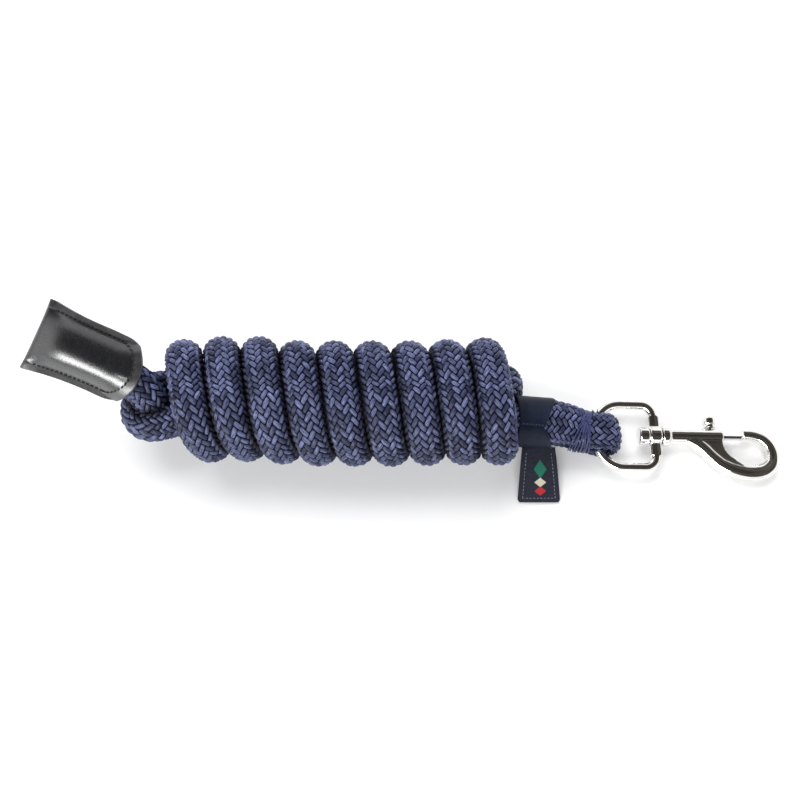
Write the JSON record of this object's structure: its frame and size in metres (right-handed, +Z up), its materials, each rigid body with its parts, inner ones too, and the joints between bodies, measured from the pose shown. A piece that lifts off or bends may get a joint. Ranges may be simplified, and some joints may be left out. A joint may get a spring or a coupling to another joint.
{
  "type": "lead rope",
  "caption": "Braided lead rope wound into a hank, with a folded leather cap on its tail, a fabric label, and a swivelling bolt snap at its sewn eye.",
  "frame": {"origin": "on the surface the rope lies on, under the middle of the wound hank, on the flat underside of the hank", "axes": "+X along the hank towards the snap, which is the longest extent; +Z up; +Y away from the side on which the label hangs"},
  "size_m": [0.3669, 0.0874, 0.054],
  "materials": {
    "braided_rope": "satin multifilament yarn, two-over-two braid",
    "black_leather": "smooth, semi-gloss",
    "black_thread": "waxed thread",
    "navy_sleeve": "smooth, satin",
    "navy_thread": "glossy thread",
    "woven_label": "fine woven ribbon",
    "grey_thread": "matt thread",
    "bright_plating": "polished nickel plating",
    "spring_steel": "drawn wire"
  },
  "bodies": {
    "rope": {"rope_hank": "braided_rope", "rope_bight": "braided_rope", "rope_tail": "braided_rope", "rope_eye": "braided_rope", "leather_end_cap": "black_leather", "cap_stitching": "black_thread", "keeper_sleeve": "navy_sleeve", "sleeve_stitching": "navy_thread", "eye_whipping": "navy_thread"},
    "label_flag": {"label": "woven_label", "label_stitching": "grey_thread"},
    "ring": {"swivel_eye": "bright_plating"},
    "snap": {"snap_body": "bright_plating", "swivel_rivet": "bright_plating", "bolt_spring": "spring_steel"},
    "bolt_unit": {"bolt": "bright_plating", "thumb_knob": "bright_plating"}
  },
  "joints": [
    {"name": "ring_swing", "type": "hinge", "parent": "rope", "child": "ring", "pos_m": [0.1244, -0.011, 0.0084], "axis": [0, 1, 0], "range_deg": [-110, 105]},
    {"name": "swivel_spin", "type": "hinge", "parent": "ring", "child": "snap", "pos_m": [0.1244, -0.011, 0.0084], "axis": [0.9981, 0, -0.061], "continuous": true},
    {"name": "bolt_slide", "type": "slide", "parent": "snap", "child": "bolt_unit", "axis": [-0.9981, 0, 0.061], "range_m": [0, 0.0105], "stiffness_N_per_m": 250, "springref_m": -0.005, "deforming": ["bolt_spring"]},
    {"name": "label_flap", "type": "hinge", "parent": "rope", "child": "label_flag", "pos_m": [0.0956, -0.0184, 0.0086], "axis": [1, 0, 0], "range_deg": [-45, 75]}
  ]
}
